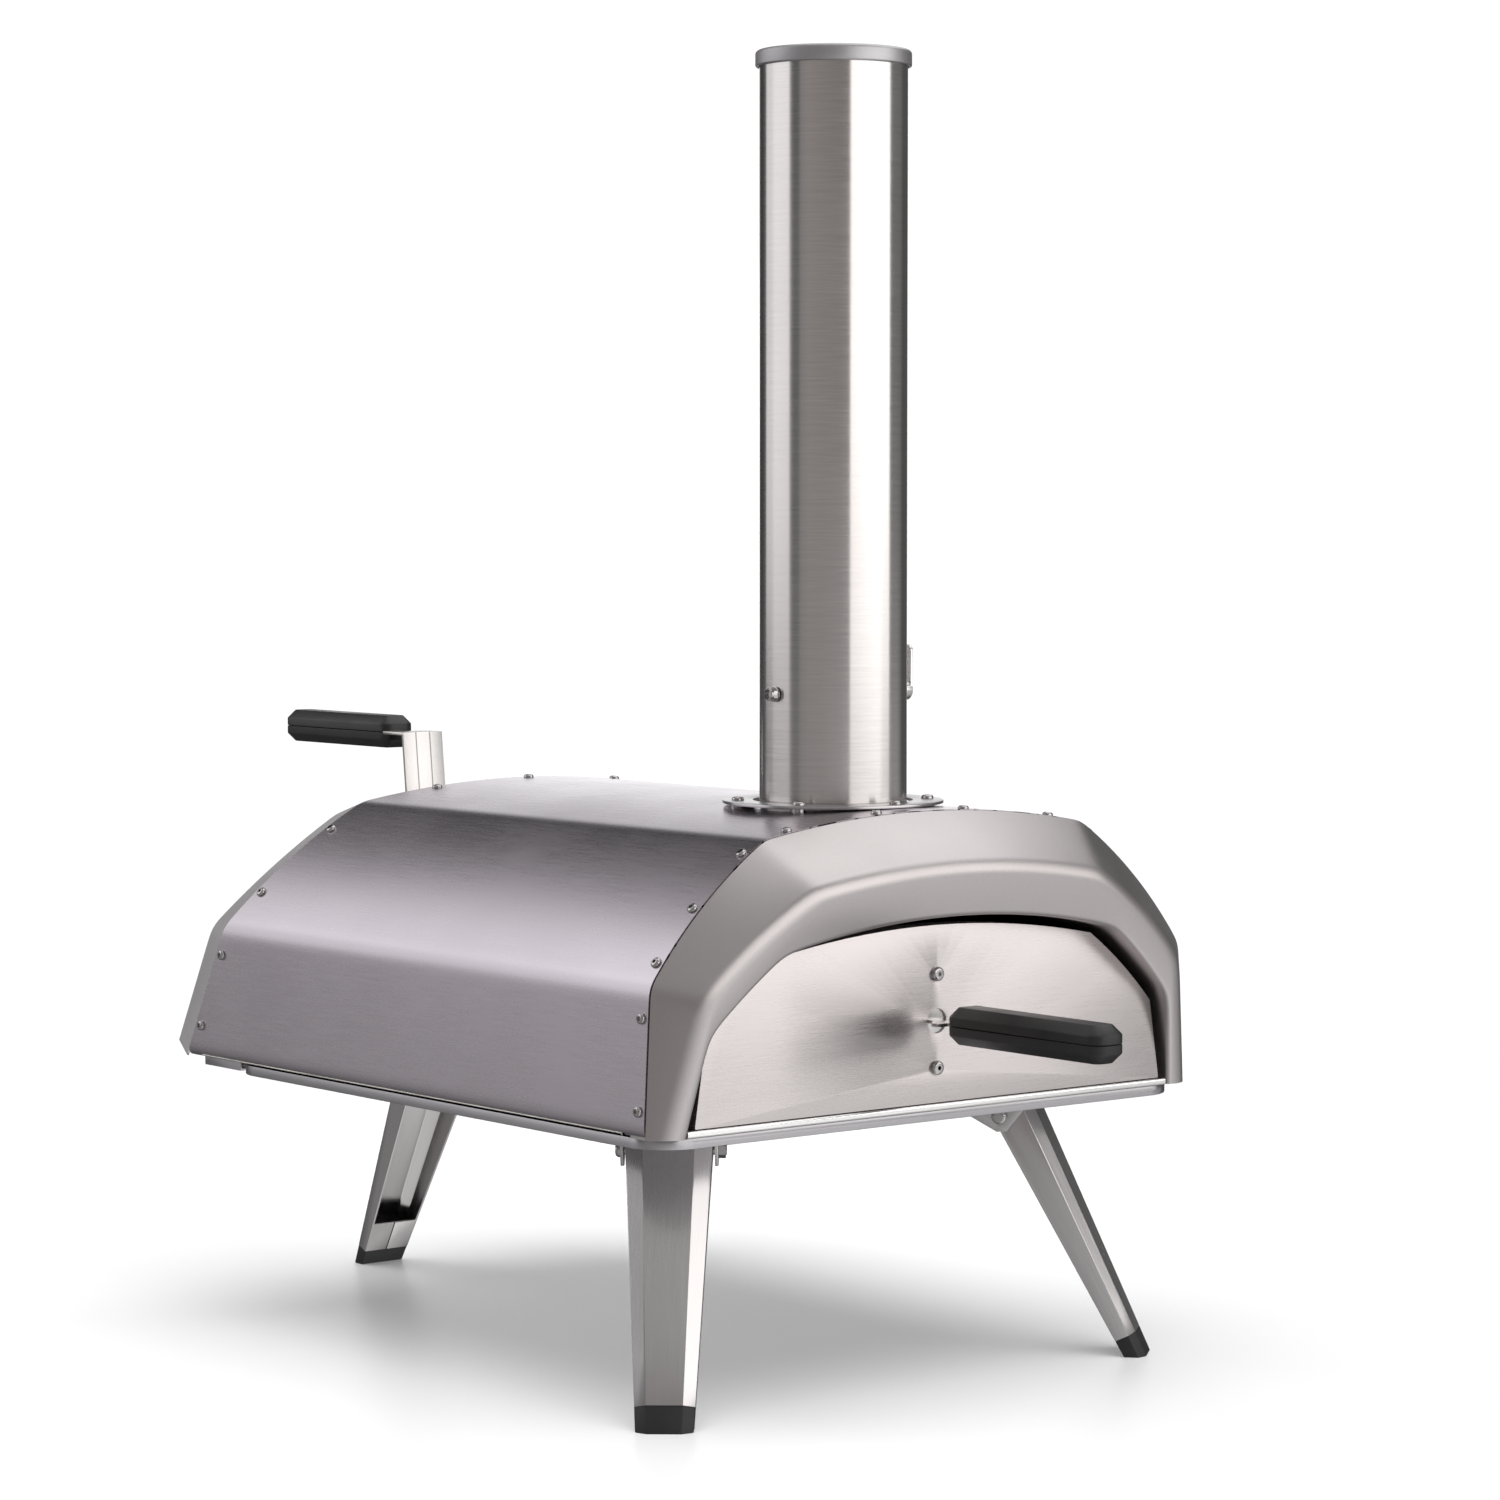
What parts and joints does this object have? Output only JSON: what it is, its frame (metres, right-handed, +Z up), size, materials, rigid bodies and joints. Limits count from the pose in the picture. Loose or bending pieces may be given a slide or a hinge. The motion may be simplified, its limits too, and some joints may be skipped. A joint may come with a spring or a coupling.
{
  "type": "wood fired pizza oven",
  "caption": "Portable wood fired pizza oven: an insulated steel body on folding legs, with a lift-out door, a capped chimney with a damper, and a rear fuel hatch and drawer.",
  "frame": {"origin": "on the floor, under the middle of the oven with its handles", "axes": "+X to the right seen from the mouth, +Y from the mouth to the fuel hatch, +Z up"},
  "size_m": [0.4108, 0.819, 0.7762],
  "materials": {
    "brushed_shell": "satin",
    "satin_bezel": "matte",
    "inner_steel": "satin",
    "fibre": "matte",
    "sheet_steel": "satin",
    "leg_steel": "satin",
    "fasteners": "satin",
    "handle_plastic": "matte",
    "foot_rubber": "matte",
    "cordierite": "matte"
  },
  "bodies": {
    "oven": {"base_tray": "sheet_steel", "bezel_screws": "fasteners", "burner_housing": "sheet_steel", "chimney_flange": "sheet_steel", "flame_guard": "inner_steel", "flange_screws": "fasteners", "flange_spacers": "fasteners", "flue_collar": "inner_steel", "front_bezel": "satin_bezel", "front_lip": "sheet_steel", "insulation_back_left": "fibre", "insulation_back_right": "fibre", "insulation_back_top": "fibre", "insulation_floor": "fibre", "insulation_roof": "fibre", "insulation_shoulder_left": "fibre", "insulation_shoulder_right": "fibre", "insulation_wall_left": "fibre", "insulation_wall_right": "fibre", "leg_brackets": "leg_steel", "leg_pins": "fasteners", "liner": "inner_steel", "liner_back": "inner_steel", "liner_floor": "inner_steel", "mouth_frame": "satin_bezel", "outer_shell": "brushed_shell", "rear_bezel": "brushed_shell", "rear_leg_plate": "sheet_steel", "rear_screws": "fasteners"},
    "door": {"door_bracket": "sheet_steel", "door_handle_lower": "handle_plastic", "door_handle_screws": "fasteners", "door_handle_upper": "handle_plastic", "door_inner_skin": "sheet_steel", "door_insulation": "fibre", "door_outer_skin": "sheet_steel", "door_screws": "fasteners"},
    "hatch": {"hatch_handle_lower": "handle_plastic", "hatch_handle_screws": "fasteners", "hatch_handle_upper": "handle_plastic", "hatch_lid": "sheet_steel", "hatch_rivets": "fasteners", "hatch_strap": "sheet_steel"},
    "drawer": {"fuel_grate": "sheet_steel", "fuel_tray": "sheet_steel"},
    "stone": {"baking_stone": "cordierite"},
    "chimney": {"chimney_tube": "brushed_shell"},
    "cap": {"chimney_cap": "sheet_steel"},
    "damper": {"damper_axle": "fasteners", "damper_lever": "sheet_steel", "damper_nut": "fasteners", "damper_plate": "sheet_steel"},
    "leg_front_left_set": {"foot_front_left": "foot_rubber", "leg_front_left": "leg_steel"},
    "leg_front_right_set": {"foot_front_right": "foot_rubber", "leg_front_right": "leg_steel"},
    "leg_rear_set": {"foot_rear": "foot_rubber", "leg_rear": "leg_steel"}
  },
  "joints": [
    {"name": "door_pull", "type": "slide", "parent": "oven", "child": "door", "axis": [0, -0.9962, 0.0872], "range_m": [0, 0.12]},
    {"name": "hatch_lift", "type": "slide", "parent": "oven", "child": "hatch", "axis": [0, 0, 1], "range_m": [0, 0.12]},
    {"name": "drawer_pull", "type": "slide", "parent": "oven", "child": "drawer", "axis": [0, 1, 0], "range_m": [0, 0.15]},
    {"name": "stone_lift", "type": "slide", "parent": "oven", "child": "stone", "axis": [0, 0, 1], "range_m": [0, 0.012]},
    {"name": "chimney_lift", "type": "slide", "parent": "oven", "child": "chimney", "axis": [0, 0, 1], "range_m": [0, 0.06]},
    {"name": "cap_lift", "type": "slide", "parent": "chimney", "child": "cap", "axis": [0, 0, 1], "range_m": [0, 0.03]},
    {"name": "damper_turn", "type": "hinge", "parent": "chimney", "child": "damper", "pos_m": [0, -0.1697, 0.4025], "axis": [1, 0, 0], "range_deg": [0, 90]},
    {"name": "leg_front_left_fold", "type": "hinge", "parent": "oven", "child": "leg_front_left_set", "pos_m": [-0.12865, -0.17937, 0.1455], "axis": [0.7683, -0.6401, 0], "range_deg": [0, 114]},
    {"name": "leg_front_right_fold", "type": "hinge", "parent": "oven", "child": "leg_front_right_set", "pos_m": [0.12865, -0.17937, 0.1455], "axis": [0.7683, 0.6401, 0], "range_deg": [0, 114]},
    {"name": "leg_rear_fold", "type": "hinge", "parent": "oven", "child": "leg_rear_set", "pos_m": [0, 0.2333, 0.1455], "axis": [-1, 0, 0], "range_deg": [0, 114]}
  ]
}
